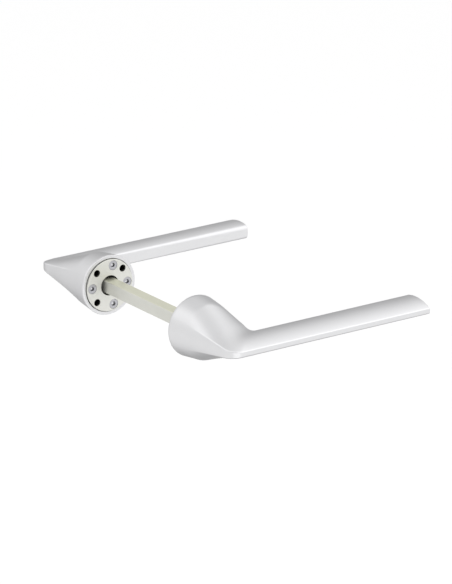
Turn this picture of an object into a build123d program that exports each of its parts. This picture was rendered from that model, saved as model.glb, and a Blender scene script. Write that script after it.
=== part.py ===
from build123d import *
from math import asin, atan2, cos, radians, sin, sqrt, tan
import os

# Lever handle set: two levers on one square spindle, each turning on a sprung cassette behind its rose.
# X runs along the levers to their free ends, Y along the spindle, Z up.
# The origin is on the spindle axis, midway between the two door faces.
# Each side is drawn once in its own frame: depth 0 is the plane of the rose's rim, and depth grows
# outwards, away from the door. The front side faces -Y and the rear side is its mirror image.

# Door and spindle
door_thickness = 89.6
spindle_width = 8.0
spindle_chamfer = 0.45
spindle_grip = 30.0
spindle_end_chamfer = 0.8

# Rose and neck of the lever
rose_edge = 0.4
rose_wall = 2.6
neck_wall = 0.9
neck_depth = 14.5

# Bar of the lever: a lens section with a flat outer edge and a flat inner face
bar_reach = 59.2
bar_end = 130.2
bar_width = 22.6
bar_edge_height = 3.2
bar_crown_height = 10.6
bar_crown_inset = 13.9
bar_corner_at_neck = 1.2
bar_corner_at_end = 3.0
bar_end_edge = 0.4

# Bend between neck and bar, seen from above
tip_offset = -13.3
tip_reach = 58.1
tip_radius = 8.0
tip_cut = 1.6
elbow_offset = 15.2
elbow_radius = 3.0
bend_rise = 1.0
bend_steps = 4

# How the neck's round end is shared out between the faces of the bar's section, in degrees
flank_half_angle = 27.5
inside_half_angle = 26.0
inside_corner_angle = 10.0

# Mounting plate and its screws
plate_overhang = 0.5
plate_thickness = 3.0
plate_proud = 0.95
plate_edge = 0.25
plate_bore = 12.8
hole_circle = 26.4
fixing_hole = 4.5
fixing_hole_count = 4
fixing_hole_first_angle = 45.0
fixing_hole_depth = 8.4
screw_circle = 25.4
screw_angles = (0.0, 79.0, 180.0, -78.0)
screw_shank = 3.0
screw_head = 6.2
screw_head_height = 1.95
screw_head_land = 0.35
screw_sink = 0.1
screw_length = 8.0
screw_socket = 2.5
screw_socket_depth = 1.2

# Cassette behind the plate
washer_thickness = 0.6
washer_radius = 9.6
flange_radius = 9.8
flange_thickness = 2.0
sleeve_radius = 7.0
sleeve_overhang = 1.9
cavity_radius = 10.2
housing_radius = 16.0
housing_floor = 2.7
bush_wall = 1.35
bush_collar_radius = 10.0
bush_collar_thickness = 0.8
glide_ring_width = 2.2
glide_ring_depth = 1.0
glide_ring_setback = 0.6
glide_ring_slit = 1.2

# Return spring: a flat strip wound in a spiral
spring_width = 3.0
spring_strip = 0.5
spring_pitch = 1.1
spring_half_turns = 4
spring_tang = 0.9
spring_angle = 22.5

# Grub screw in the underside of the neck
grub_diameter = 5.0
grub_length = 7.0
grub_depth = 22.0
grub_socket = 2.5
grub_socket_depth = 2.5
grub_point = 0.8

# Clearances
housing_clearance = 0.4
running_clearance = 0.1
turning_clearance = 0.05
rim_clearance = 0.4
seat_clearance = 0.02
thread_clearance = 0.05
spindle_clearance = 0.05
socket_clearance = 0.1
spring_clearance = 0.3
end_clearance = 0.5
groove_clearance = 0.05

# Depths and radii that follow from the sizes above
rim_y = door_thickness / 2 + plate_proud
lever_bore = housing_radius + housing_clearance
rose_radius = lever_bore + rose_wall
neck_radius = lever_bore + neck_wall
plate_radius = housing_radius + plate_overhang
plate_back = plate_thickness - plate_proud
recess_radius = plate_radius + rim_clearance
recess_floor = plate_back + end_clearance
flange_near = plate_back + washer_thickness + turning_clearance
flange_far = flange_near + flange_thickness
spring_near = flange_far + spring_clearance
cavity_far = spring_near + spring_width + spring_clearance
housing_far = cavity_far + housing_floor
collar_far = housing_far + bush_collar_thickness
cup_floor = collar_far + running_clearance
sleeve_far = cup_floor + sleeve_overhang
counterbore_far = sleeve_far + end_clearance
socket_far = spindle_grip + end_clearance + spindle_end_chamfer
bush_inner = sleeve_radius + turning_clearance
bush_outer = bush_inner + bush_wall
floor_bore = bush_outer + seat_clearance
hole_ring = hole_circle / 2
screw_ring = screw_circle / 2
glide_outer = lever_bore - running_clearance
glide_inner = housing_radius - glide_ring_depth
glide_far = housing_far - glide_ring_setback
glide_near = glide_far - glide_ring_width
door_face = -plate_proud
screw_top = door_face + screw_sink
screw_tip = screw_top + screw_length
coil_radius = sleeve_radius + spring_clearance + spring_strip / 2


def depth_plane(depth):
    """Plane across the spindle at a depth; its own x is X and its own y is Z, looking outwards."""
    return Plane(origin=(0, -depth, 0), x_dir=(1, 0, 0), z_dir=(0, -1, 0))


def turned(*profile):
    """Solid turned about the spindle axis from (radius, depth) corners."""
    outline = Polyline(*[(radius, -depth) for radius, depth in profile], close=True)
    return revolve(make_face(outline), Axis.Y)


def ring(outer, inner, near, far):
    return turned((inner, near), (outer, near), (outer, far), (inner, far))


def bored(sketch, near, far):
    """Straight cut or pin of a sketch drawn across the spindle, from one depth to another."""
    return extrude(depth_plane(near) * sketch, amount=far - near)


def fixing_holes(near, far):
    """The ring of round holes that take the fixings through the door."""
    holes = PolarLocations(hole_ring, fixing_hole_count, fixing_hole_first_angle) * Circle(fixing_hole / 2)
    return bored(Sketch() + holes, near, far)


def at_screws(piece):
    """Copies of a piece drawn about the spindle axis, one at each plate screw."""
    angles = [radians(angle) for angle in screw_angles]
    return [Pos(screw_ring * cos(angle), 0, screw_ring * sin(angle)) * piece for angle in angles]


def screw_shape(top, tip, clearance):
    """Countersunk screw blank about the spindle axis, or its hole when it is grown by a clearance."""
    head = screw_head / 2 + clearance
    shank = screw_shank / 2 + clearance
    land = screw_top + screw_head_land
    neck = screw_top + screw_head_height
    return turned((0, top), (head, top), (head, land), (shank, neck), (shank, tip), (0, tip))


def hexagon(across_flats):
    return RegularPolygon(across_flats / 2, 6, major_radius=False)


def spindle_hole(clearance, near, far):
    width = spindle_width + 2 * clearance
    return bored(Rectangle(width, width), near, far)


def bar_half(start, corner, rise):
    """Key points (inset, height) of the upper half of the bar's section, its crown raised by a rise.

    The crown is one arc from the outer edge, level at the crown, and it runs on to a corner arc that
    is tangent to it and to the flat inner face. A start above zero cuts the outer edge off there.
    """
    edge = bar_edge_height / 2
    crown = bar_crown_height / 2 + rise
    big = (bar_crown_inset ** 2 + (crown - edge) ** 2) / (2 * (crown - edge))
    centre = crown - big
    across = bar_width - corner - bar_crown_inset
    corner_height = centre + sqrt((big - corner) ** 2 - across ** 2)
    lean = atan2(across, corner_height - centre)

    def on_crown(turn):
        return bar_crown_inset + big * sin(turn), centre + big * cos(turn)

    def on_corner(turn):
        return bar_width - corner + corner * sin(turn), corner_height + corner * cos(turn)

    first = asin((start - bar_crown_inset) / big)
    quarter = radians(90)
    crown_arc = [on_crown(first), on_crown((first + lean) / 2), on_crown(lean)]
    corner_arc = [on_corner(lean), on_corner((lean + quarter) / 2), on_corner(quarter)]
    return crown_arc, corner_arc


def closed_section(plane, crown_arc, corner_arc, flank_bulge=None, inside_bulge=None):
    """Face of six edges from the upper half's points: flank, underside, corner, inside, corner, crown."""

    def low(points):
        return [(u, -v) for u, v in points]

    def side(a, bulge, b):
        return ThreePointArc(a, bulge, b) if bulge else Line(a, b)

    under = low(crown_arc)
    under_corner = low(corner_arc)
    edges = [
        side(crown_arc[0], flank_bulge, under[0]),
        ThreePointArc(*under),
        ThreePointArc(*under_corner),
        side(under_corner[2], inside_bulge, corner_arc[2]),
        ThreePointArc(*reversed(corner_arc)),
        ThreePointArc(*reversed(crown_arc)),
    ]
    return plane * make_face(edges)


def slanted_section(outer, inner, corner, start=0, rise=0, lowered=0):
    """Bar section on the upright plane through two plan points, stretched to span between them."""
    across = Vector(inner[0] - outer[0], -(inner[1] - outer[1]), 0)
    stretch = across.length / (bar_width - start)
    plane = Plane(origin=(outer[0], -outer[1], 0), x_dir=across, z_dir=across.cross(Vector(0, 0, 1)))
    arcs = bar_half(start, corner, rise)
    return closed_section(plane, *[[((u - start) * stretch, v - lowered) for u, v in arc] for arc in arcs])


def end_section(inset):
    """Bar section at the free end, drawn in by the size of the broken edge round the end face."""
    x = bar_end - bar_end_edge + inset
    outer = (x, bar_reach - inset)
    inner = (x, bar_reach - bar_width + inset)
    return slanted_section(outer, inner, bar_corner_at_end, lowered=inset)


def round_section():
    """The neck's round end, cut into the same six edges as the bar's section."""

    def at(angle):
        return neck_radius * cos(radians(angle)), neck_radius * sin(radians(angle))

    flank = 180 - flank_half_angle
    corner = inside_half_angle + inside_corner_angle
    crown_arc = [at(flank), at((flank + corner) / 2), at(corner)]
    corner_arc = [at(corner), at((corner + inside_half_angle) / 2), at(inside_half_angle)]
    return closed_section(depth_plane(neck_depth), crown_arc, corner_arc, at(180), at(0))


def bend_line(corner_point, lean, radius, step):
    """Plan point on the arc that rounds a corner, from the slanted side (step 0) to the bar (step 1).

    The slanted side leans by an angle from the depth direction; the bar's side runs along X.
    """
    turn = radians(90) - lean
    reach = radius * tan(turn / 2)
    angle = lean + turn * step
    return corner_point[0] + reach - radius * cos(angle), corner_point[1] - radius + radius * sin(angle)


def lever_body():
    """Cone of the rose, the lofted neck and bend, and the bar, as one casting before it is bored."""
    tip = (tip_offset, tip_reach)
    elbow = (elbow_offset, bar_reach - bar_width)
    flank_lean = atan2(tip_offset + neck_radius, tip_reach - neck_depth)
    inside_lean = atan2(elbow_offset - neck_radius, bar_reach - bar_width - neck_depth)
    fan = []
    for i in range(bend_steps + 1):
        step = i / bend_steps
        outer = bend_line(tip, flank_lean, tip_radius, step)
        inner = bend_line(elbow, inside_lean, elbow_radius, step)
        cut = tip_cut * (1 - step)
        rise = bend_rise * (1 - step) ** 2
        fan.append(slanted_section(outer, inner, bar_corner_at_neck, cut, rise))
    cone = turned(
        (0, 0),
        (rose_radius - rose_edge, 0),
        (rose_radius, rose_edge),
        (neck_radius, neck_depth),
        (0, neck_depth),
    )
    neck = loft([round_section(), fan[0]], ruled=True)
    bend = loft(fan)
    bar = loft([fan[-1], end_section(0), end_section(bar_end_edge)], ruled=True)
    return cone + neck + bend + bar


def lever():
    body = lever_body()
    body -= ring(recess_radius, 0, -1, recess_floor)
    body -= ring(lever_bore, 0, -1, cup_floor)
    body -= ring(sleeve_radius + socket_clearance, 0, cup_floor - 1, counterbore_far)
    body -= spindle_hole(socket_clearance, counterbore_far - 1, socket_far)
    grub_hole = Cylinder(grub_diameter / 2 + thread_clearance, rose_radius)
    body -= Pos(0, -grub_depth, -rose_radius / 2) * grub_hole
    return body


def mounting_plate():
    body = turned(
        (plate_bore / 2, door_face),
        (plate_radius - plate_edge, door_face),
        (plate_radius, door_face + plate_edge),
        (plate_radius, plate_back),
        (plate_bore / 2, plate_back),
    )
    body -= at_screws(screw_shape(door_face - 1, plate_back + 1, seat_clearance))
    body -= fixing_holes(door_face - 1, plate_back + 1)
    return body


def plate_screws():
    """The four countersunk screws that hold the plate to the housing."""
    screw = screw_shape(screw_top, screw_tip, 0)
    screw -= bored(hexagon(screw_socket), screw_top - 1, screw_top + screw_socket_depth)
    return Part() + at_screws(screw)


def spring_housing():
    body = turned(
        (cavity_radius, plate_back),
        (housing_radius, plate_back),
        (housing_radius, housing_far),
        (floor_bore, housing_far),
        (floor_bore, cavity_far),
        (cavity_radius, cavity_far),
    )
    body -= ring(housing_radius + 1, glide_inner, glide_near, glide_far)
    body -= fixing_holes(plate_back - 1, door_face + fixing_hole_depth)
    tapped = ring(screw_shank / 2 + thread_clearance, 0, plate_back - 1, screw_tip + end_clearance)
    body -= at_screws(tapped)
    body -= tang_slot(cavity_radius - 1, cavity_radius + spring_tang, plate_back - 1, cavity_far)
    return body


def tang_slot(inner, outer, near, far):
    """Slot along the spindle that takes one of the spring's ends."""
    slot = Rectangle(outer - inner, spring_strip + 2 * groove_clearance)
    return bored(Rot(0, 0, spring_angle) * Pos((inner + outer) / 2, 0) * slot, near, far)


def drive_hub():
    """Flanged sleeve that the spindle turns, with the spring wound on its sleeve."""
    body = turned(
        (0, flange_near),
        (flange_radius, flange_near),
        (flange_radius, flange_far),
        (sleeve_radius, flange_far),
        (sleeve_radius, sleeve_far),
        (0, sleeve_far),
    )
    body -= spindle_hole(spindle_clearance, flange_near - 1, sleeve_far + 1)
    body -= tang_slot(sleeve_radius - spring_tang, sleeve_radius + 1, flange_far, sleeve_far + 1)
    return body


def return_spring():
    """Flat spiral of half circles about two centres; its straight ends sit in the hub and the housing."""
    offset = spring_pitch / 4
    radius = coil_radius + offset
    side = 1
    coils = []
    for _ in range(spring_half_turns):
        centre = -side * offset
        start = 0 if side > 0 else 180
        coils.append(CenterArc((centre, 0), radius, start, 180))
        outer_end = centre - side * radius
        radius += 2 * offset
        side = -side
    half = spring_strip / 2
    inner_tang = Line((sleeve_radius - spring_tang + groove_clearance, 0), (coil_radius + half, 0))
    outer_tang = Line((outer_end - half, 0), (cavity_radius + spring_tang - groove_clearance, 0))
    strip = Sketch() + [trace(line, spring_strip) for line in [inner_tang, *coils, outer_tang]]
    return bored(Rot(0, 0, spring_angle) * strip, spring_near, spring_near + spring_width)


def hub_bush():
    """Flanged bush in the housing floor; its collar is the face that the lever runs against."""
    return turned(
        (bush_inner, cavity_far),
        (bush_outer, cavity_far),
        (bush_outer, housing_far),
        (bush_collar_radius, housing_far),
        (bush_collar_radius, collar_far),
        (bush_inner, collar_far),
    )


def thrust_washer():
    return ring(washer_radius, plate_bore / 2, plate_back, plate_back + washer_thickness)


def glide_ring():
    """Split ring in the housing's groove that steadies the lever's bore."""
    inner = glide_inner + seat_clearance
    body = ring(glide_outer, inner, glide_near + groove_clearance, glide_far - groove_clearance)
    slit = Pos(0, -(inner + glide_outer) / 2) * Rectangle(glide_ring_slit, lever_bore - glide_inner)
    return body - bored(slit, glide_near, glide_far)


def grub_screw():
    tip = -spindle_width / 2
    radius = grub_diameter / 2
    outline = Polyline(
        (0, tip),
        (radius - grub_point, tip),
        (radius, tip - grub_point),
        (radius, tip - grub_length),
        (0, tip - grub_length),
        close=True,
    )
    body = revolve(Plane.XZ * make_face(outline), Axis.Z)
    socket = extrude(hexagon(grub_socket), grub_socket_depth)
    return Pos(0, -grub_depth, 0) * (body - Pos(0, 0, tip - grub_length) * socket)


def spindle():
    bar = Box(spindle_width, 2 * (rim_y + spindle_grip), spindle_width)
    squared = chamfer(bar.edges().filter_by(Axis.Y), spindle_chamfer)
    pointed = chamfer(bar.faces().filter_by(Axis.Y).edges(), spindle_end_chamfer)
    return squared & pointed


def side_pieces():
    """Every piece of one side, in the side's own frame."""
    return {
        "lever": lever(),
        "mounting_plate": mounting_plate(),
        "plate_screws": plate_screws(),
        "spring_housing": spring_housing(),
        "drive_hub": drive_hub(),
        "return_spring": return_spring(),
        "hub_bush": hub_bush(),
        "thrust_washer": thrust_washer(),
        "glide_ring": glide_ring(),
        "grub_screw": grub_screw(),
    }


def main():
    os.makedirs("parts", exist_ok=True)
    export_step(spindle(), "parts/spindle.step")
    for name, piece in side_pieces().items():
        front = Pos(0, -rim_y, 0) * piece
        export_step(front, f"parts/front_{name}.step")
        export_step(mirror(front, about=Plane.XZ), f"parts/rear_{name}.step")


if __name__ == "__main__":
    main()
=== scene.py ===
import math

import bpy
import numpy as np
from bpy.props import FloatProperty, FloatVectorProperty, PointerProperty
from mathutils import Matrix, Vector


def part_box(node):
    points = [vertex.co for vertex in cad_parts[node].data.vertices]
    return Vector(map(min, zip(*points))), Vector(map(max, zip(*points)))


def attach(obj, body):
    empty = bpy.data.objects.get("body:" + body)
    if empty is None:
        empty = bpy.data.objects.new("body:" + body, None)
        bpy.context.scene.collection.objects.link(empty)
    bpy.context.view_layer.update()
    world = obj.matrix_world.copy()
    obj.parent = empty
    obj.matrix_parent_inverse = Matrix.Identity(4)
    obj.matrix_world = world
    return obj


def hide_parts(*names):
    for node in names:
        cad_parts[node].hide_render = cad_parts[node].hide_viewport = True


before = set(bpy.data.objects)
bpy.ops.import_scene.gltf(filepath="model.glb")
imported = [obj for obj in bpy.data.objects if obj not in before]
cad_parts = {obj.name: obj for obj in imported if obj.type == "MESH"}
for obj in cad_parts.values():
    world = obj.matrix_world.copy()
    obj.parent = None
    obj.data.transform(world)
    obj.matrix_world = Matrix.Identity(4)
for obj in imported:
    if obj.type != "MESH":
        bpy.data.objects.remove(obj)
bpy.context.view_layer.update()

bl_info = {
    "name": "Lever handle set",
    "version": (1, 0, 0),
    "blender": (4, 5, 0),
    "location": "View3D > Sidebar > Lever set",
    "description": "Cast levers, finishes and studio for a pair of lever handles on a square spindle",
    "category": "Object",
}

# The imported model's own box and the places of its rims, read before anything is added.
LEVER_LOW, LEVER_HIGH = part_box("front_lever")
RIM = -LEVER_HIGH.y
DOOR_FACE = -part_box("front_mounting_plate")[1].y
PLATE_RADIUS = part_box("front_mounting_plate")[1].z
TURNING, FIXED = "levers_and_spindle", "door_fixings"
SIDES = {"front": -1.0, "rear": 1.0}

# How many points each stretch of the lever's section gets, on its upper half.
EDGE_POINTS, RIDGE_POINTS, CROWN_POINTS, CORNER_POINTS, INNER_POINTS = 6, 5, 44, 10, 7

# How many rings each stretch of the lever gets, with both its ends.
RINGS = {"cone": 9, "arch": 9, "neck": 24, "blend": 16, "bend": 14, "bar": 40, "end": 6, "cap": 4}

# Cosines round the neck between which its arch gets softer, towards the bar and towards the flank.
BAR_SIDE, FLANK_SIDE = (-0.1, 0.8), (0.80, 0.95)

# Share of the bend where the blend from the neck ends, and the step that finds its direction there.
BLEND_END, NUDGE = 0.45, 0.01

# A rounded edge has one point in its middle, at about this share of its radius from both faces.
ROUND_MIDDLE = 0.3

# How far the rings in the free end's face close in on its middle.
CAP_CLOSE = 0.8

# Depths past the neck between which the ridges' painted light grows, and the attribute that holds it.
RIDGE_START, RIDGE_FULL = 0.002, 0.016
RIDGE_ATTRIBUTE = "ridge_polish"

# Points round a screw, rings along its thread, and sides of the drill for the fixing hole.
SCREW_POINTS, THREAD_RINGS, DRILL_SIDES = 36, 73, 48

# The fixing hole ends at this share of the socket's half width, just inside the socket.
DRILL_END = 0.95

# Edges are sharp where two faces meet at more than this many degrees.
SHARP_ABOVE = 34

# In the plate's holes the colour falls to a share of itself between two depths behind the plate's face.
HOLE_SHADE = {"near": 0.0003, "far": 0.0014, "share": 0.12}

# Width of the plate's rim that the shade of its holes leaves out, and half the blend between the painted
# light of the spindle's level and upright faces.
PLATE_RIM, FACE_BLEND = 0.0005, 0.0002

# Place and size of each lamp in metres.
LAMPS = {
    "left_lamp": ((-0.90, 0.81, 0.88), (1.0, 1.0)),
    "right_lamp": ((1.16, -0.84, 0.93), (2.7, 1.85)),
    "front_lamp": ((-0.35, -0.98, -0.34), (1.05, 0.40)),
}


def size(name, text, default):
    """A length in metres, shown in the scene's own units."""
    return FloatProperty(name=name, description=text, default=default, min=0.0, unit="LENGTH", precision=5)


def place(name, text, default):
    """A signed distance in metres."""
    return FloatProperty(name=name, description=text, default=default, unit="LENGTH", precision=5)


def angle(name, text, degrees):
    """An angle that is given in degrees and kept in radians."""
    return FloatProperty(name=name, description=text, default=math.radians(degrees), unit="ROTATION")


def colour(name, text, default):
    """A colour as three linear shares of red, green and blue."""
    return FloatVectorProperty(
        name=name, description=text, default=default, size=3, min=0.0, max=1.0, subtype="COLOR"
    )


def level(name, text, default):
    """A plain number that isn't negative."""
    return FloatProperty(name=name, description=text, default=default, min=0.0)


class LeverForm(bpy.types.PropertyGroup):
    """Sizes of the cast lever."""

    rose_radius: size("Rose radius", "Outer radius of the rose at its rim", LEVER_HIGH.z)
    rose_edge: size("Rim edge", "Rounding of the rim's outer edge", 0.0004)
    neck_radius: size("Neck radius", "Radius where the rose's cone ends", 0.0173)
    neck_depth: size("Neck depth", "Distance from the rim to where the cone ends", 0.0145)
    bar_reach: size(
        "Bar reach", "From the rim to the bar's outer edge at its free end", LEVER_HIGH.y - LEVER_LOW.y
    )
    bar_end: size("Bar end", "From the spindle axis to the free end", LEVER_HIGH.x)
    bar_width: size("Bar width", "From the bar's outer edge to its inner face", 0.0226)
    edge_height: size("Outer edge height", "Height of the flat outer edge", 0.0032)
    crown_height: size("Crown height", "Greatest height of the section", 0.0106)
    crown_inset: size("Crown inset", "From the outer edge to the crown", 0.0139)
    corner_at_neck: size("Inner corner at neck", "Corner rounding of the inner face, near the neck", 0.0012)
    corner_at_end: size("Inner corner at end", "Corner rounding of the inner face, at the free end", 0.0030)
    end_edge: size("End edge", "Rounding round the free end's face", 0.0004)
    tip_offset: place("Tip offset", "Where the outer edge and the flank would meet, along the bar", -0.0133)
    tip_reach: size("Tip reach", "From the rim to the outer edge at the tip", 0.0581)
    tip_radius: size("Tip radius", "Rounding of the tip seen from above", 0.0080)
    tip_cut: size("Tip cut", "How far the tip's rounding cuts into the crown", 0.0016)
    elbow_offset: size("Elbow offset", "Where the inner face and the neck would meet, along the bar", 0.0152)
    elbow_radius: size("Elbow radius", "Rounding of the inner elbow seen from above", 0.0030)
    bend_rise: size("Bend rise", "Extra crown height where the neck runs into the bend", 0.0010)
    flank_half: angle("Flank half angle", "Share of the neck's circle that becomes the outer edge", 27.5)
    inner_half: angle("Inner half angle", "Share of the neck's circle that becomes the inner face", 26.0)
    inner_corner: angle("Inner corner angle", "Share of the neck's circle that becomes a corner", 10.0)
    recess: size("Recess radius", "Radius of the recess that takes the plate", 0.0169)
    recess_depth: size("Recess depth", "Depth of the recess that takes the plate", 0.00255)
    recess_edge: size("Recess edge", "Rounding of the recess's outer edge", 0.0002)
    bore: size("Bore radius", "Radius of the cup behind the recess", 0.0164)
    cup_depth: size("Cup depth", "Depth of the cup behind the rim", 0.0119)
    sleeve_bore: size("Sleeve bore", "Radius of the counterbore for the hub's sleeve", 0.0071)
    sleeve_depth: size("Sleeve depth", "Depth of the counterbore's floor", 0.0143)
    socket: size("Spindle socket", "Half the width of the square socket", 0.0041)
    socket_depth: size("Socket depth", "Depth of the square socket's floor", 0.0313)
    grub_radius: size("Fixing hole radius", "Radius of the threaded hole under the neck", 0.00255)
    grub_depth: size("Fixing hole depth", "From the rim to the threaded hole's axis", 0.0220)
    ridge_round: size("Ridge rounding", "How far the ridges are eased on each side", 0.00045)
    arch_round: size("Arch rounding", "How far the neck's arch is eased where it is crispest", 0.0010)
    arch_bar: size("Arch at bar", "How much further the arch is eased on the bar's side", 0.006)
    arch_flank: size("Arch at flank", "How much further the arch is eased over the flank", 0.004)
    bend_blend: size("Bend blend", "Length over which the neck runs smoothly into the bend", 0.0060)
    # Painted highlight on the upper ridges and painted shade on the lower ones, as shares of the lever's
    # colour.
    ridge_highlight: level("Ridge gain", "How much brighter the upper ridges are, rubbed by hands", 0.10)
    ridge_shade: level("Ridge loss", "How much duller the lower ridges are", 0.20)


class ScrewForm(bpy.types.PropertyGroup):
    """Sizes of the plate screws."""

    ring: size("Screw ring", "Radius of the ring that the screws lie on", 0.0127)
    angles: FloatVectorProperty(
        name="Screw angles", description="Places of the screws round the ring", size=4,
        default=[math.radians(degrees) for degrees in (0, 79, 180, -78)], unit="ROTATION",
    )
    sink: size("Sink", "How far the heads lie below the plate's face", 0.0001)
    head: size("Head radius", "Outer radius of the head", 0.0031)
    land: size("Head land", "Height of the head's straight edge", 0.00035)
    head_height: size("Head height", "From the head's face to the shank", 0.00195)
    shank: size("Shank radius", "Outer radius of the thread", 0.0015)
    length: size("Length", "From the head's face to the point", 0.0080)
    socket: size("Socket", "Half the width across the socket's flats", 0.00125)
    socket_depth: size("Socket depth", "From the head's face to the socket's floor", 0.0012)
    # Radius of the painted glint in the middle of each socket's floor.
    glint_radius: size("Dimple radius", "Radius of the bright drill mark in the socket's floor", 0.0007)
    edge: size("Broken edge", "Broken edge round the head and the socket", 0.00020)
    pitch: size("Thread pitch", "From one turn of the thread to the next", 0.0005)
    groove: size("Thread depth", "Depth of the thread's groove", 0.00028)


class SetFinishes(bpy.types.PropertyGroup):
    """Colours of the finishes."""

    lever: colour("Lever", "Satin silver of the cast levers", (0.76, 0.76, 0.77))
    plate: colour("Plate", "Pale nickel of the mounting plates", (0.775, 0.775, 0.735))
    # The level and upright faces of the spindle differ in tint as painted light, for how the light falls on
    # them.
    spindle: colour("Spindle", "Zinc-plated steel of the spindle's level faces", (0.70, 0.70, 0.575))
    spindle_side_light: colour("Spindle sides", "Zinc-plated steel of its upright faces", (0.69, 0.69, 0.64))
    screw: colour("Screws", "Plated steel of the screws", (0.50, 0.50, 0.525))
    # Painted shade on the sockets' walls and floors, and a painted glint in the middle of each floor.
    socket: colour("Socket walls", "Dark walls of the screws' sockets", (0.33, 0.33, 0.345))
    socket_floor: colour("Socket floors", "Bright floors of the screws' sockets", (0.92, 0.92, 0.94))
    # The hubs and the spring housings are near black as painted shade, for the plate's holes where they show.
    hub: colour("Hub", "Black of the drive hubs", (0.012, 0.012, 0.012))
    housing: colour("Housing", "Dark grey of the cast spring housings", (0.06, 0.06, 0.058))
    spring: colour("Spring", "Oiled steel of the return springs", (0.22, 0.22, 0.24))
    nylon: colour("Nylon", "Natural nylon of the bushes and rings", (0.78, 0.76, 0.69))
    washer: colour("Washer", "Plain steel of the thrust washers", (0.45, 0.45, 0.44))


class StudioSettings(bpy.types.PropertyGroup):
    """Light, floor and camera."""

    azimuth: angle("Camera azimuth", "Turn of the camera about the upright axis", -35.211)
    elevation: angle("Camera elevation", "Height of the camera above the horizon", 18.796)
    distance: size("Camera distance", "From the camera to the point that it looks at", 2.1734)
    shift_right: place("Aim right", "Aim point, to the right of the spindle's middle", 0.044944)
    shift_up: place("Aim up", "Aim point, above the spindle's middle", 0.007744)
    lens: FloatProperty(
        name="Focal length", description="Lens in millimetres", default=223.2, min=1.0, unit="CAMERA"
    )
    sensor: FloatProperty(
        name="Sensor width", description="Sensor in millimetres", default=36.0, min=1.0, unit="CAMERA"
    )
    floor_drop: size("Floor drop", "How far the floor lies below the spindle", 0.80)
    sky: level("Surround", "Brightness of the even surround", 0.929)
    overhead_gain: level("Overhead gain", "How much brighter the surround is overhead", 0.224)
    far_loss: level("Far loss", "How much darker the surround is low on the side away from the camera", 0.276)
    gap_loss: level("Gap loss", "How much darker the gap above the rear lever is", 0.323)
    camera_loss: level("Camera loss", "How much darker the opening round the camera is", 0.446)
    left_lamp: level("Left lamp", "Power of the soft lamp on the left, in watts", 0.79)
    right_lamp: level("Right lamp", "Power of the large soft lamp on the right, in watts", 6.3)
    front_lamp: level("Front lamp", "Power of the low soft lamp in front, in watts", 0.72)
    glow: level("Floor glow", "What straight views and reflections of the floor lack to be white", 0.15)


# Lever surface


def ramp(low, high, value):
    """Smooth step: 3 t^2 - 2 t^3 with t running from 0 at low to 1 at high."""
    t = np.clip((value - low) / (high - low), 0.0, 1.0)
    return t * t * (3.0 - 2.0 * t)


def eased(a, corner, b, t):
    """Quadratic curve from a to b that leaves and arrives along the lines to the corner."""
    return (1 - t) ** 2 * a + 2 * t * (1 - t) * corner + t ** 2 * b


def whole_loop(u, v):
    """Closes the upper half of a section with its mirror image below: (u, v) then (u, -v) backwards."""
    return np.concatenate([u, u[:, -2:0:-1]], 1), np.concatenate([v, -v[:, -2:0:-1]], 1)


def bar_loop(form, outer, inner, corner, cut, rise, inset):
    """Bar sections, one for each station, as an array of stations by points by (x, depth, z).

    outer and inner are the plan points (x, depth) that each section spans. The crown is a circle of
    radius (c^2 + h^2) / (2 h), for a crown h above the edge and c inside it; the inner corner is a circle
    tangent to the crown and to the inner face. cut moves the flat outer edge inwards along the crown, and
    inset draws the section's height in.
    """
    edge = form.edge_height / 2
    crown = form.crown_height / 2 + rise
    radius = (form.crown_inset ** 2 + (crown - edge) ** 2) / (2 * (crown - edge))
    centre = crown - radius
    across = form.bar_width - corner - form.crown_inset
    corner_z = centre + np.sqrt((radius - corner) ** 2 - across ** 2)
    lean = np.arctan2(across, corner_z - centre)
    first = np.arcsin((cut - form.crown_inset) / radius)
    top = centre + radius * np.cos(first)
    ease = form.ridge_round
    start = ease / (radius * (lean - first))

    def on_crown(t):
        turn = first + (lean - first) * t
        return form.crown_inset + radius * np.sin(turn), centre + radius * np.cos(turn)

    t = np.linspace(0, 1, EDGE_POINTS)[None]
    edge_u, edge_v = cut + 0 * t, (top - ease) * t
    t = np.linspace(0, 1, RIDGE_POINTS + 2)[None, 1:-1]
    begin_u, begin_v = on_crown(start)
    ridge_u = eased(cut, cut, begin_u, t)
    ridge_v = eased(top - ease, top, begin_v, t)
    t = np.linspace(0, 1, CROWN_POINTS)[None]
    crown_u, crown_v = on_crown(start + (1 - start) * t)
    turn = lean + (np.pi / 2 - lean) * np.linspace(0, 1, CORNER_POINTS)[None, 1:]
    corner_u = form.bar_width - corner + corner * np.sin(turn)
    corner_v = corner_z + corner * np.cos(turn)
    t = np.linspace(0, 1, INNER_POINTS)[None, 1:]
    inner_u, inner_v = form.bar_width + 0 * (t + cut), corner_z * (1 - t)
    heights = np.concatenate([edge_v, ridge_v, crown_v, corner_v, inner_v], 1)
    heights = np.maximum(heights - inset, 0) * (heights > 0)
    u, v = whole_loop(np.concatenate([edge_u, ridge_u, crown_u, corner_u, inner_u], 1), heights)
    span = inner - outer
    length = np.linalg.norm(span, axis=1)[:, None]
    u = (u - cut) * length / (form.bar_width - cut)
    x = outer[:, :1] + u * span[:, :1] / length
    depth = outer[:, 1:] + u * span[:, 1:] / length
    return np.stack([x, depth, v], 2)


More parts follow.
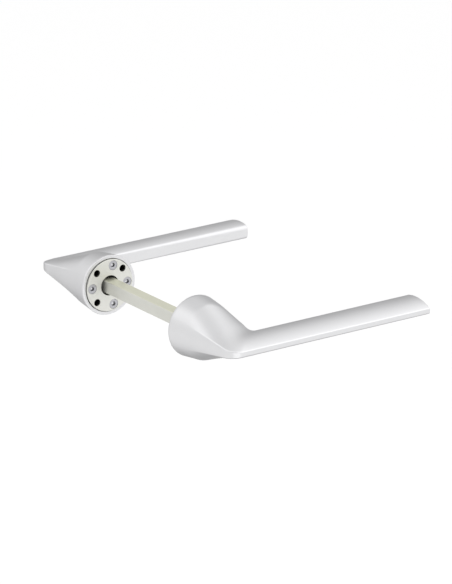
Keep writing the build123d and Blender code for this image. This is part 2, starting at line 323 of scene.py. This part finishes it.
def neck_angles(form):
    """Angles round the neck's circle of the points that match the bar section's points."""
    ease = form.ridge_round / form.neck_radius
    ridge = np.pi - form.flank_half
    corner = form.inner_half + form.inner_corner
    half = np.concatenate([
        np.linspace(np.pi, ridge + ease, EDGE_POINTS),
        np.linspace(ridge + ease, ridge - ease, RIDGE_POINTS + 2)[1:-1],
        np.linspace(ridge - ease, corner, CROWN_POINTS),
        np.linspace(corner, form.inner_half, CORNER_POINTS)[1:],
        np.linspace(form.inner_half, 0, INNER_POINTS)[1:],
    ])
    return np.concatenate([half, -half[-2:0:-1]])


def ringed(angles, radius, depth):
    """Rings about the spindle axis: x = r cos a, z = r sin a, at a depth."""
    return np.stack([radius * np.cos(angles), depth + 0 * angles, radius * np.sin(angles)], 2)


def circles(angles, stations):
    """Round rings of (radius, depth) stations."""
    radius, depth = np.array(stations).T[..., None]
    return ringed(angles, radius, depth)


def polygons(angles, sides, first_flat, stations):
    """Rings with flat sides, of (half width, depth) stations, whose first side faces a given angle.

    A direction that is b from the middle of its side is scaled by 1 / cos b, so that it meets the flat.
    """
    share = 2 * np.pi / sides
    off = (angles - first_flat + share / 2) % share - share / 2
    half, depth = np.array(stations).T[..., None]
    return ringed(angles, half / np.cos(off), depth)


def rounded_plan(corner, lean, radius, share):
    """Plan points on the arc that rounds a corner between a side that leans and the bar's own line."""
    turn = math.pi / 2 - lean
    at = lean + turn * share
    reach = radius * math.tan(turn / 2)
    return np.stack([corner[0] + reach - radius * np.cos(at), corner[1] - radius + radius * np.sin(at)], 1)


def lever_surface(form):
    """Rings of the whole lever, from the socket's floor to the free end: rings by points by (x, depth, z).

    The cone and the neck are straight lines from ring to ring, ring(t) = (1 - t) a + t b. Where two of them
    meet, a quadratic curve eases the kink. The neck runs into the bend on a cubic curve that matches both
    directions, the bend is a fan of bar sections, and the bar is again straight lines between two sections.
    """
    angles = neck_angles(form)
    rim = circles(angles, [(form.rose_radius, form.rose_edge)])
    neck = circles(angles, [(form.neck_radius, form.neck_depth)])
    tip = (form.tip_offset, form.tip_reach)
    elbow = (form.elbow_offset, form.bar_reach - form.bar_width)
    flank_lean = math.atan2(tip[0] + form.neck_radius, tip[1] - form.neck_depth)
    inner_lean = math.atan2(elbow[0] - form.neck_radius, elbow[1] - form.neck_depth)

    def fan(share):
        share = np.atleast_1d(share)
        outer = rounded_plan(tip, flank_lean, form.tip_radius, share)
        inner = rounded_plan(elbow, inner_lean, form.elbow_radius, share)
        rest = (1 - share)[:, None]
        cut, rise = form.tip_cut * rest, form.bend_rise * rest ** 2
        return bar_loop(form, outer, inner, form.corner_at_neck, cut, rise, 0)

    def end(x, inset):
        outer = np.array([[x, form.bar_reach - inset]])
        inner = np.array([[x, form.bar_reach - form.bar_width + inset]])
        still = np.zeros((1, 1))
        return bar_loop(form, outer, inner, form.corner_at_end, still, still, inset)

    def shares(stretch, first=1):
        return np.linspace(0, 1, RINGS[stretch])[first:, None, None]

    def unit(vector):
        return vector / np.linalg.norm(vector, axis=2, keepdims=True)

    at_bar = ramp(*BAR_SIDE, np.cos(angles))
    at_flank = ramp(*FLANK_SIDE, -np.cos(angles))
    softer = form.arch_bar * at_bar + form.arch_flank * at_flank
    arch = (form.arch_round + softer)[None, :, None]
    bend = fan(0.0)
    cone_way, neck_way = unit(neck - rim), unit(bend - neck)
    before, after = neck - arch * cone_way, neck + arch * neck_way
    leave = bend - form.bend_blend * neck_way
    arrive = fan(BLEND_END)
    reach = np.linalg.norm(arrive - leave, axis=2, keepdims=True)
    go = reach * neck_way
    come = reach * unit(fan(BLEND_END + NUDGE) - fan(BLEND_END - NUDGE))
    t = shares("blend")
    blend = (2 * t ** 3 - 3 * t ** 2 + 1) * leave + (t ** 3 - 2 * t ** 2 + t) * go
    blend = blend + (3 * t ** 2 - 2 * t ** 3) * arrive + (t ** 3 - t ** 2) * come

    face = end(form.bar_end, form.end_edge)
    shoulder = end(form.bar_end - form.end_edge, 0)
    centre = face.mean(1, keepdims=True)
    inner_edge, outer_edge = form.recess_edge, form.rose_edge
    inside = [
        polygons(angles, sides=4, first_flat=0.0, stations=[
            (form.socket, form.socket_depth),
            (form.socket, form.sleeve_depth),
        ]),
        circles(angles, [
            (form.sleeve_bore, form.sleeve_depth),
            (form.sleeve_bore, form.cup_depth),
            (form.bore, form.cup_depth),
            (form.bore, form.recess_depth),
            (form.recess, form.recess_depth),
            (form.recess, inner_edge),
            (form.recess + ROUND_MIDDLE * inner_edge, ROUND_MIDDLE * inner_edge),
            (form.recess + inner_edge, 0),
            (form.rose_radius - outer_edge, 0),
            (form.rose_radius - ROUND_MIDDLE * outer_edge, ROUND_MIDDLE * outer_edge),
        ]),
    ]
    outside = [
        rim + (before - rim) * shares("cone", 0),
        eased(before, neck, after, shares("arch")),
        after + (leave - after) * shares("neck"),
        blend,
        fan(np.linspace(BLEND_END, 1, RINGS["bend"])[1:]),
        fan(1.0) + (shoulder - fan(1.0)) * shares("bar"),
        eased(shoulder, end(form.bar_end, 0), face, shares("end")),
        centre + (face - centre) * (1 - CAP_CLOSE * shares("cap")),
    ]
    return np.concatenate(inside + outside)


def ridge_polish(form, rings):
    """Painted light on each point of the lever's rings, as a share of its brightness.

    A painted highlight on the upper ridges and painted shade on the lower ones, both growing from nothing
    along the neck. The corner and the inner face have one point fewer than their counts, because they share
    their first.
    """
    half = np.zeros(EDGE_POINTS + RIDGE_POINTS + CROWN_POINTS + CORNER_POINTS + INNER_POINTS - 2)
    half[EDGE_POINTS:EDGE_POINTS + RIDGE_POINTS] = 1.0
    around = np.concatenate([form.ridge_highlight * half, -form.ridge_shade * half[-2:0:-1]])
    return around * ramp(form.neck_depth + RIDGE_START, form.neck_depth + RIDGE_FULL, rings[:, :, 1])


def screw_surface(form):
    """Rings of one screw about the spindle axis, from its socket's floor over the head to the point.

    The thread's radius is r - g (1 - cos(2 pi (depth / pitch - turn))) / 2. Its groove g fades at both ends.
    """
    angles = np.linspace(0, 2 * np.pi, SCREW_POINTS, endpoint=False)
    top = DOOR_FACE - RIM + form.sink
    floor = top + form.socket_depth
    neck, end = top + form.head_height, top + form.length - 2 * form.edge
    depth = np.linspace(neck, end, THREAD_RINGS)[:, None]
    fade = ramp(neck, neck + form.pitch, depth) * ramp(end, end - form.pitch, depth)
    turns = depth / form.pitch - angles / (2 * np.pi)
    thread = form.shank - form.groove * fade * (1 - np.cos(2 * np.pi * turns)) / 2
    corner = form.socket / math.cos(math.pi / 6)
    return np.concatenate([
        circles(angles, [(form.glint_radius, floor)]),
        polygons(angles, sides=6, first_flat=math.pi / 6, stations=[
            (form.socket, floor),
            (form.socket, top + form.edge),
        ]),
        circles(angles, [
            (corner + form.edge / 2, top),
            (form.head - form.edge, top),
            (form.head, top + form.edge),
            (form.head, top + form.land),
        ]),
        ringed(angles, thread, depth),
        circles(angles, [(form.shank - 2 * form.edge, top + form.length)]),
    ])


def new_mesh(name, spots, faces):
    """New mesh from lists of points and of faces."""
    mesh = bpy.data.meshes.new(name)
    mesh.from_pydata(spots, [], faces)
    mesh.update()
    return mesh


def add(name, data):
    """New object in the scene's own collection."""
    made = bpy.data.objects.new(name, data)
    bpy.context.scene.collection.objects.link(made)
    return made


def closed_mesh(name, solids, side):
    """Mesh of closed solids, each an array of rings of points; depth runs away from the rim on that side.

    A point in the middle of its first ring and one in the middle of its last ring close each solid.
    """
    mesh_spots, mesh_faces, start = [], [], 0
    for rings in solids:
        count, points = rings.shape[:2]
        grid = np.concatenate([rings.reshape(-1, 3), [rings[0].mean(0), rings[-1].mean(0)]])
        spots = np.stack([grid[:, 0], side * (RIM + grid[:, 1]), grid[:, 2]], 1)
        ring, point = np.meshgrid(np.arange(count - 1), np.arange(points), indexing="ij")
        a = ring * points + point
        b = ring * points + (point + 1) % points
        quads = np.stack([a, b, b + points, a + points], 2).reshape(-1, 4)
        turn = np.arange(points)
        last = (count - 1) * points
        first_fan = np.stack([(turn + 1) % points, turn, 0 * turn + count * points], 1)
        last_fan = np.stack([last + turn, last + (turn + 1) % points, 0 * turn + count * points + 1], 1)
        corners = spots[quads]
        normal = np.cross(corners[:, 2] - corners[:, 0], corners[:, 3] - corners[:, 1])
        order = 1 if (normal * (corners.mean(1) - spots.mean(0))).sum() > 0 else -1
        for part in (quads, first_fan, last_fan):
            mesh_faces += (start + part[:, ::order]).tolist()
        mesh_spots += spots.tolist()
        start += len(spots)
    return new_mesh(name, mesh_spots, mesh_faces)


def smooth(mesh):
    """Shades a mesh smooth, apart from its sharp edges."""
    mesh.polygons.foreach_set("use_smooth", np.ones(len(mesh.polygons), bool))
    mesh.set_sharp_from_angle(angle=math.radians(SHARP_ABOVE))


def drilled(piece, radius, x, y, low, high):
    """Cuts an upright round hole through a piece: the cutter is a prism from low to high."""
    at = np.arange(DRILL_SIDES)
    after = (at + 1) % DRILL_SIDES
    turn = 2 * np.pi * at / DRILL_SIDES
    ring = np.stack([x + radius * np.cos(turn), y + radius * np.sin(turn)], 1)
    spots = np.concatenate([np.c_[ring, 0 * turn + low], np.c_[ring, 0 * turn + high]])
    walls = np.stack([at, after, after + DRILL_SIDES, at + DRILL_SIDES], 1)
    ends = [at[::-1].tolist(), (at + DRILL_SIDES).tolist()]
    mesh = new_mesh("hole", spots.tolist(), walls.tolist() + ends)
    cutter = add("hole", mesh)
    cut = piece.modifiers.new("hole", "BOOLEAN")
    cut.operation, cut.solver, cut.object = "DIFFERENCE", "EXACT", cutter
    bpy.context.view_layer.update()
    whole = piece.data
    shaped = piece.evaluated_get(bpy.context.evaluated_depsgraph_get())
    piece.data = bpy.data.meshes.new_from_object(shaped)
    piece.modifiers.clear()
    bpy.data.objects.remove(cutter)
    bpy.data.meshes.remove(mesh)
    piece.data.name = whole.name + "_drilled"
    bpy.data.meshes.remove(whole)


# Finishes


def node(tree, kind, **inputs):
    """New node with some of its inputs set or linked by name."""
    made = tree.nodes.new(kind)
    for name, value in inputs.items():
        connect(tree, made, name.replace("_", " "), value)
    return made


def connect(tree, made, name, value):
    """Sets one input of a node, or links it where the value is a socket."""
    if isinstance(value, bpy.types.NodeSocket):
        tree.links.new(value, made.inputs[name])
    else:
        made.inputs[name].default_value = value


def maths(tree, operation, *values, kind="ShaderNodeMath", output="Value"):
    """New maths node with its inputs set or linked in their order."""
    made = tree.nodes.new(kind)
    made.operation = operation
    for i, value in enumerate(values):
        connect(tree, made, i, value)
    return made.outputs[output]


def vector_maths(tree, operation, *values, output="Vector"):
    """As maths, for vectors."""
    return maths(tree, operation, *values, kind="ShaderNodeVectorMath", output=output)


def noise(tree, spot, scale, detail):
    """Soft noise about 0.5."""
    return node(tree, "ShaderNodeTexNoise", Vector=spot, Scale=scale, Detail=detail).outputs["Fac"]


def stepped(tree, value, low, high, shape="LINEAR"):
    """Step from 0 at low to 1 at high."""
    made = node(tree, "ShaderNodeMapRange", Value=value, From_Min=low, From_Max=high)
    made.interpolation_type = shape
    return made.outputs["Result"]


def varied(tree, base, value, amount):
    """A base that a value about 0.5 moves up and down: base + amount (value - 0.5)."""
    return maths(tree, "MULTIPLY_ADD", maths(tree, "SUBTRACT", value, 0.5), amount, base)


def threefold(tree, value):
    """One number as all three parts of a vector."""
    return node(tree, "ShaderNodeCombineXYZ", X=value, Y=value, Z=value).outputs["Vector"]


def from_axis(tree, split):
    """Distance from the spindle axis, sqrt(x^2 + z^2), of a place that is split into its parts."""
    squares = [maths(tree, "MULTIPLY", split[part], split[part]) for part in "XZ"]
    return maths(tree, "SQRT", maths(tree, "ADD", *squares))


def draw_satin(tree, spot):
    """Fine blasted grain: a soft cloud for tone and gloss, and two sizes of fine noise for height."""
    cloud = noise(tree, spot, scale=55.0, detail=3.0)
    fine = noise(tree, spot, scale=5200.0, detail=2.0)
    grain = noise(tree, spot, scale=1900.0, detail=2.0)
    height = maths(tree, "MULTIPLY_ADD", fine, 0.5, maths(tree, "MULTIPLY", grain, 0.5))
    return varied(tree, cloud, grain, amount=0.35), cloud, height


def draw_turned(tree, spot):
    """Fine rings about the spindle axis: noise of the distance sqrt(x^2 + z^2), with a soft cloud over it."""
    squeeze = 0.3
    split = node(tree, "ShaderNodeSeparateXYZ", Vector=spot).outputs
    depth = maths(tree, "MULTIPLY", split["Y"], squeeze)
    profile = node(tree, "ShaderNodeCombineXYZ", X=from_axis(tree, split), Y=depth).outputs["Vector"]
    rings = noise(tree, profile, scale=3600.0, detail=2.0)
    cloud = noise(tree, spot, scale=120.0, detail=3.0)
    return varied(tree, cloud, rings, amount=0.6), rings, rings


def draw_drawn(tree, spot):
    """Lines along the spindle: noise that is stretched along Y, with a soft cloud over it."""
    squeeze = (1.0, 0.02, 1.0)
    lines = noise(tree, vector_maths(tree, "MULTIPLY", spot, squeeze), scale=2600.0, detail=3.0)
    cloud = noise(tree, spot, scale=90.0, detail=3.0)
    return varied(tree, cloud, lines, amount=0.7), lines, lines


PATTERNS = {"satin_grain": draw_satin, "turned_rings": draw_turned, "drawn_lines": draw_drawn}


def finish_group(name):
    """Shader group that turns a position, a colour and a roughness into ones that vary over the surface.

    Its pattern takes the tree and the position and gives three values about 0.5: tone, gloss and height.
    """
    if name in bpy.data.node_groups:
        return bpy.data.node_groups[name]
    tree = bpy.data.node_groups.new(name, "ShaderNodeTree")
    takes = {"Position": "Vector", "Colour": "Color", "Roughness": "Float", "Tone": "Float", "Gloss": "Float"}
    gives = {"Colour": "Color", "Roughness": "Float", "Height": "Float"}
    for way, sockets in (("INPUT", takes), ("OUTPUT", gives)):
        for socket, kind in sockets.items():
            tree.interface.new_socket(socket, in_out=way, socket_type="NodeSocket" + kind)
    given = tree.nodes.new("NodeGroupInput").outputs
    tone, gloss, height = PATTERNS[name](tree, given["Position"])
    shade = threefold(tree, varied(tree, 1.0, tone, given["Tone"]))
    tint = vector_maths(tree, "MULTIPLY", given["Colour"], shade)
    rough = varied(tree, given["Roughness"], gloss, given["Gloss"])
    node(tree, "NodeGroupOutput", Colour=tint, Roughness=rough, Height=height)
    return tree


def shaded_holes(tree, spot, near, far, share):
    """Factor that falls from 1 to a share in the plate's holes, between two depths behind its face."""
    split = node(tree, "ShaderNodeSeparateXYZ", Vector=spot).outputs
    depth = maths(tree, "SUBTRACT", maths(tree, "ABSOLUTE", split["Y"]), DOOR_FACE)
    holes = maths(tree, "LESS_THAN", from_axis(tree, split), PLATE_RADIUS - PLATE_RIM)
    inside = maths(tree, "MULTIPLY", stepped(tree, depth, near, far), holes)
    return maths(tree, "MULTIPLY_ADD", inside, share - 1.0, 1.0)


def painted_light_by_face(tree, spot, level_tint, upright_tint):
    """Painted light on a square bar along Y: the level tint on faces where |z| > |x|, the upright tint on
    others.
    """
    split = node(tree, "ShaderNodeSeparateXYZ", Vector=spot).outputs
    across, upwards = [maths(tree, "ABSOLUTE", split[part]) for part in "XZ"]
    share = stepped(tree, maths(tree, "SUBTRACT", upwards, across), -FACE_BLEND, FACE_BLEND)
    change = Vector(level_tint) - Vector(upright_tint)
    return vector_maths(tree, "MULTIPLY_ADD", threefold(tree, share), change, Vector(upright_tint))


def finish(
    name, pattern, tint, roughness, tone, gloss, bump, depth,
    metallic=1.0, edge=1.0, upright=None, holes=None, ridges=False,
):
    """Material whose colour, roughness and fine relief come from one of the finish groups.

    tone and gloss are how much its colour and its roughness vary, and bump and depth are for its relief.
    edge is the brightness of its reflections at a glancing angle, upright is a tint for the upright faces of
    a bar, which with the main tint is painted light by face, holes are the values of the shade in the plate's
    holes, and ridges is for the ridges' painted light: a painted highlight above and painted shade below.
    """
    material = bpy.data.materials.get(name) or bpy.data.materials.new(name)
    material.use_nodes = True
    tree = material.node_tree
    tree.nodes.clear()
    spot = tree.nodes.new("ShaderNodeTexCoord").outputs["Object"]
    effect = tree.nodes.new("ShaderNodeGroup")
    effect.node_tree = finish_group(pattern)
    base = (*tint, 1.0) if upright is None else painted_light_by_face(tree, spot, tint, upright)
    given = {"Position": spot, "Colour": base, "Roughness": roughness, "Tone": tone, "Gloss": gloss}
    for socket, value in given.items():
        connect(tree, effect, socket, value)
    relief = node(tree, "ShaderNodeBump", Strength=bump, Distance=depth, Height=effect.outputs["Height"])
    factors = []
    if holes is not None:
        factors.append(shaded_holes(tree, spot, **holes))
    # Painted highlight on the upper ridges and painted shade on the lower ones, read from the lever's
    # attribute.
    if ridges:
        own = tree.nodes.new("ShaderNodeAttribute")
        own.attribute_name = RIDGE_ATTRIBUTE
        factors.append(maths(tree, "ADD", own.outputs["Fac"], 1.0))
    shown = effect.outputs["Colour"]
    for factor in factors:
        shown = vector_maths(tree, "MULTIPLY", shown, threefold(tree, factor))
    shader = node(
        tree, "ShaderNodeBsdfPrincipled", Base_Color=shown, Roughness=effect.outputs["Roughness"],
        Metallic=metallic, Normal=relief.outputs["Normal"], Specular_Tint=(edge, edge, edge, 1.0),
    )
    node(tree, "ShaderNodeOutputMaterial", Surface=shader.outputs["BSDF"])
    material.diffuse_color = (*tint, 1.0)
    return material


def dress(material, *names):
    """Puts a finish on the named pieces of both sides, or on a piece that has no side."""
    for name in names:
        for node_name in (name, "front_" + name, "rear_" + name):
            if node_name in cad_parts:
                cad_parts[node_name].data.materials.clear()
                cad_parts[node_name].data.materials.append(material)


# Operators


class LEVERSET_OT_levers(bpy.types.Operator):
    """Make both cast levers and give them their satin finish"""

    bl_idname = "lever_set.levers"
    bl_label = "Cast levers"

    def execute(self, context):
        form = context.scene.lever_form
        satin = finish(
            "lever_satin", "satin_grain", context.scene.set_finishes.lever, roughness=0.40, tone=0.05,
            gloss=0.06, bump=0.10, depth=0.00004, edge=0.5, ridges=True,
        )
        rings = lever_surface(form)
        brightness = np.append(ridge_polish(form, rings), (0.0, 0.0))
        for name, side in SIDES.items():
            mesh = closed_mesh(name + "_lever_cast", [rings], side)
            mesh.attributes.new(RIDGE_ATTRIBUTE, "FLOAT", "POINT").data.foreach_set("value", brightness)
            piece = add(name + "_lever_cast", mesh)
            hole_y = side * (RIM + form.grub_depth)
            drilled(piece, form.grub_radius, 0.0, hole_y, -form.rose_radius, -form.socket * DRILL_END)
            smooth(piece.data)
            piece.data.materials.clear()
            piece.data.materials.append(satin)
            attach(piece, TURNING)
            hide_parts(name + "_lever")
        return {"FINISHED"}


class LEVERSET_OT_plates(bpy.types.Operator):
    """Give the mounting plates, housings and washers their turned and cast finishes"""

    bl_idname = "lever_set.plates"
    bl_label = "Mounting plates"

    def execute(self, context):
        colours = context.scene.set_finishes
        nickel = finish(
            "plate_nickel", "turned_rings", colours.plate, roughness=0.55, tone=0.05, gloss=0.10,
            bump=0.12, depth=0.00003, holes=HOLE_SHADE,
        )
        # Near black as painted shade, for the plate's fixing holes where the housings show.
        cast = finish(
            "housing_cast", "satin_grain", colours.housing, roughness=0.55, tone=0.12, gloss=0.10,
            bump=0.30, depth=0.00006,
        )
        steel = finish(
            "washer_steel", "turned_rings", colours.washer, roughness=0.40, tone=0.08, gloss=0.10,
            bump=0.15, depth=0.00003,
        )
        dress(nickel, "mounting_plate")
        dress(cast, "spring_housing")
        dress(steel, "thrust_washer")
        return {"FINISHED"}


class LEVERSET_OT_screws(bpy.types.Operator):
    """Make the threaded plate screws and give all the screws their plated finish"""

    bl_idname = "lever_set.screws"
    bl_label = "Screws"

    def execute(self, context):
        form, colours = context.scene.screw_form, context.scene.set_finishes
        relief = {"tone": 0.10, "gloss": 0.10, "bump": 0.15, "depth": 0.00003}
        plated = finish("screw_plated", "satin_grain", colours.screw, roughness=0.36, **relief)
        # Painted shade for the sockets, and a painted glint in the middle of their floors.
        walls = finish("socket_wall", "satin_grain", colours.socket, roughness=0.50, **relief)
        glints = finish("socket_floor", "satin_grain", colours.socket_floor, roughness=0.36, **relief)
        dress(plated, "grub_screw")
        one = screw_surface(form)
        points = one.shape[1]
        # The first two strips, the socket's floor and walls, get painted shade, and the first cap in the
        # middle of the floor gets a painted glint.
        index = np.zeros((len(one) + 1) * points, np.int32)
        index[:2 * points] = 1
        index[-2 * points:-points] = 2
        four = [one + form.ring * np.array([math.cos(a), 0, math.sin(a)]) for a in form.angles]
        for name, side in SIDES.items():
            mesh = closed_mesh(name + "_plate_screws_threaded", four, side)
            piece = add(name + "_plate_screws_threaded", mesh)
            smooth(mesh)
            for material in (plated, walls, glints):
                mesh.materials.append(material)
            mesh.polygons.foreach_set("material_index", np.tile(index, len(four)))
            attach(piece, FIXED)
            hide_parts(name + "_plate_screws")
        return {"FINISHED"}


class LEVERSET_OT_spindle(bpy.types.Operator):
    """Give the spindle its drawn and plated finish"""

    bl_idname = "lever_set.spindle"
    bl_label = "Spindle"

    def execute(self, context):
        colours = context.scene.set_finishes
        # Its level and upright faces get tints of their own as painted light.
        drawn = finish(
            "spindle_drawn", "drawn_lines", colours.spindle, roughness=0.45, tone=0.10, gloss=0.12,
            bump=0.20, depth=0.00004, metallic=0.65, upright=colours.spindle_side_light,
        )
        dress(drawn, "spindle")
        return {"FINISHED"}


class LEVERSET_OT_inner(bpy.types.Operator):
    """Give the hubs, springs, bushes and glide rings their finishes"""

    bl_idname = "lever_set.inner"
    bl_label = "Inner pieces"

    def execute(self, context):
        colours = context.scene.set_finishes
        # Near black as painted shade, for the plate's middle hole where the hubs show.
        black = finish(
            "hub_black", "turned_rings", colours.hub, roughness=0.55, tone=0.30, gloss=0.15,
            bump=0.20, depth=0.00003, metallic=0.0,
        )
        oiled = finish(
            "spring_oiled", "drawn_lines", colours.spring, roughness=0.32, tone=0.15, gloss=0.10,
            bump=0.15, depth=0.00003,
        )
        natural = finish(
            "nylon_natural", "satin_grain", colours.nylon, roughness=0.50, tone=0.08, gloss=0.10,
            bump=0.15, depth=0.00004, metallic=0.0,
        )
        dress(black, "drive_hub")
        dress(oiled, "return_spring")
        dress(natural, "hub_bush", "glide_ring")
        return {"FINISHED"}


class LEVERSET_OT_studio(bpy.types.Operator):
    """Make the camera, the floor, the soft surround and the lamps"""

    bl_idname = "lever_set.studio"
    bl_label = "Studio"

    def execute(self, context):
        scene, studio = context.scene, context.scene.studio_settings
        scene.view_settings.view_transform = "Standard"
        back = Vector((
            math.sin(studio.azimuth) * math.cos(studio.elevation),
            -math.cos(studio.azimuth) * math.cos(studio.elevation),
            math.sin(studio.elevation),
        ))
        right = Vector((math.cos(studio.azimuth), math.sin(studio.azimuth), 0))
        up = back.cross(right)
        lens = bpy.data.cameras.new("camera")
        lens.sensor_width, lens.lens = studio.sensor, studio.lens
        lens.clip_start, lens.clip_end = 0.05, 100.0
        camera = add("camera", lens)
        turn = Matrix((right, up, back)).transposed().to_4x4()
        aim = right * studio.shift_right + up * studio.shift_up
        camera.matrix_world = Matrix.Translation(aim + back * studio.distance) @ turn
        scene.camera = camera
        far = -Vector((back.x, back.y, 0)).normalized()
        self.make_floor(studio, far, right)
        self.make_surround(scene, studio, far, back)
        for name, (where, sides) in LAMPS.items():
            self.make_lamp(name, getattr(studio, name), Vector(where), *sides)
        return {"FINISHED"}

    def make_lamp(self, name, power, where, width, height):
        """A soft rectangular lamp that faces the middle of the set."""
        lamp = bpy.data.lights.new(name, "AREA")
        lamp.shape, lamp.size, lamp.size_y, lamp.energy = "RECTANGLE", width, height, power
        holder = add(name, lamp)
        holder.location = where
        holder.rotation_euler = where.to_track_quat("Z", "Y").to_euler()

    def make_floor(self, studio, far, right):
        """A level pale sheet, greyer away from the camera and darker under the set as a painted shadow, with
        a white pool where the picture looks at it.

        Straight views and reflections of the pale part get the last of their white as a faint glow.
        """
        half, palest, greyest, fall = 12.0, 0.88, 0.60, 1.5
        pool_start, pool_end, pool_side = (0.95, 1.35), (4.80, 4.10), (0.75, 0.42)
        facing_away, shadow_under = (0.25, 1.0), (0.80, 0.30)
        corners = half * np.array([(-1, -1, 0), (1, -1, 0), (1, 1, 0), (-1, 1, 0)], float)
        mesh = new_mesh("floor", (corners - [0, 0, studio.floor_drop]).tolist(), [(0, 1, 2, 3)])
        floor = add("floor", mesh)
        material = bpy.data.materials.new("floor_paper")
        material.use_nodes = True
        tree = material.node_tree
        tree.nodes.clear()
        spot = tree.nodes.new("ShaderNodeTexCoord").outputs["Object"]
        behind = self.along(tree, spot, far)
        beside = self.along(tree, spot, right)
        off_line = maths(tree, "ABSOLUTE", maths(tree, "SUBTRACT", beside, studio.shift_right))
        pool = self.soft(tree, behind, pool_start)
        pool = maths(tree, "MULTIPLY", pool, self.soft(tree, behind, pool_end))
        pool = maths(tree, "MULTIPLY", pool, self.soft(tree, off_line, pool_side))
        squares = [maths(tree, "MULTIPLY", part, part) for part in (behind, beside)]
        distance = maths(tree, "SQRT", maths(tree, "ADD", *squares))
        away = stepped(tree, maths(tree, "DIVIDE", behind, distance), *facing_away)
        # Greyer away from the camera, and darker under the set as a painted shadow.
        grey = maths(tree, "MAXIMUM", maths(tree, "POWER", away, fall), self.soft(tree, distance, shadow_under))
        shade = maths(tree, "MULTIPLY", grey, maths(tree, "SUBTRACT", 1.0, pool))
        pale = maths(tree, "MULTIPLY_ADD", shade, greyest - palest, palest)
        path = tree.nodes.new("ShaderNodeLightPath").outputs
        seen = maths(tree, "MAXIMUM", path["Is Glossy Ray"], path["Is Transmission Ray"])
        seen = maths(tree, "MAXIMUM", path["Is Camera Ray"], seen)
        lit = maths(tree, "MULTIPLY", seen, maths(tree, "SUBTRACT", 1.0, shade))
        shader = node(
            tree, "ShaderNodeBsdfPrincipled", Base_Color=threefold(tree, pale), Roughness=0.9,
            Emission_Color=(1.0, 1.0, 1.0, 1.0), Emission_Strength=maths(tree, "MULTIPLY", lit, studio.glow),
        )
        node(tree, "ShaderNodeOutputMaterial", Surface=shader.outputs["BSDF"])
        mesh.materials.append(material)

    def make_surround(self, scene, studio, far, back):
        """Even pale surround with soft patches: sky + the sum of gain step(direction . middle).

        Each patch has a middle, the cosines from it at the patch's rim and core, and a gain.
        """
        world = bpy.data.worlds.new("surround")
        world.use_nodes = True
        scene.world = world
        tree = world.node_tree
        tree.nodes.clear()
        way = tree.nodes.new("ShaderNodeTexCoord").outputs["Generated"]
        overhead = Vector((0.0, 0.0, 1.0))
        low_behind = far + 0.2 * overhead
        above_rear = overhead + Vector((0.0, 0.5, 0.0))
        patches = (
            (overhead, (0.40, 0.95), studio.overhead_gain),
            (low_behind, (0.80, 0.985), -studio.far_loss),
            (above_rear, (0.86, 0.985), -studio.gap_loss),
            (back, (0.75, 0.97), -studio.camera_loss),
        )
        brightness = studio.sky
        for middle, cosines, gain in patches:
            patch = self.soft(tree, self.along(tree, way, middle.normalized()), cosines)
            brightness = maths(tree, "MULTIPLY_ADD", patch, gain, brightness)
        light = node(tree, "ShaderNodeBackground", Color=(1.0, 1.0, 1.0, 1.0), Strength=brightness)
        node(tree, "ShaderNodeOutputWorld", Surface=light.outputs["Background"])

    def along(self, tree, spot, way):
        """How far a place lies along a direction."""
        return vector_maths(tree, "DOT_PRODUCT", spot, way, output="Value")

    def soft(self, tree, value, limits):
        """Smooth step from 0 at the first limit to 1 at the second."""
        return stepped(tree, value, *limits, "SMOOTHSTEP")


class LEVERSET_PT_panel(bpy.types.Panel):
    """Buttons and sizes of the lever handle set"""

    bl_idname = "LEVERSET_PT_panel"
    bl_label = "Lever handle set"
    bl_space_type = "VIEW_3D"
    bl_region_type = "UI"
    bl_category = "Lever set"

    def draw(self, context):
        for operator in OPERATORS:
            self.layout.operator(operator.bl_idname)
        for name in GROUPS:
            box = self.layout.box()
            settings = getattr(context.scene, name)
            for prop in settings.__annotations__:
                box.prop(settings, prop)


OPERATORS = (
    LEVERSET_OT_levers,
    LEVERSET_OT_plates,
    LEVERSET_OT_screws,
    LEVERSET_OT_spindle,
    LEVERSET_OT_inner,
    LEVERSET_OT_studio,
)
GROUPS = {
    "lever_form": LeverForm,
    "screw_form": ScrewForm,
    "set_finishes": SetFinishes,
    "studio_settings": StudioSettings,
}


def register():
    for kind in (*GROUPS.values(), *OPERATORS, LEVERSET_PT_panel):
        bpy.utils.register_class(kind)
    for name, kind in GROUPS.items():
        setattr(bpy.types.Scene, name, PointerProperty(type=kind))


def unregister():
    for name in GROUPS:
        delattr(bpy.types.Scene, name)
    for kind in (LEVERSET_PT_panel, *reversed(OPERATORS), *reversed(GROUPS.values())):
        bpy.utils.unregister_class(kind)


def main():
    register()
    bpy.ops.lever_set.levers()
    bpy.ops.lever_set.plates()
    bpy.ops.lever_set.screws()
    bpy.ops.lever_set.spindle()
    bpy.ops.lever_set.inner()
    bpy.ops.lever_set.studio()


if __name__ == "__main__":
    main()
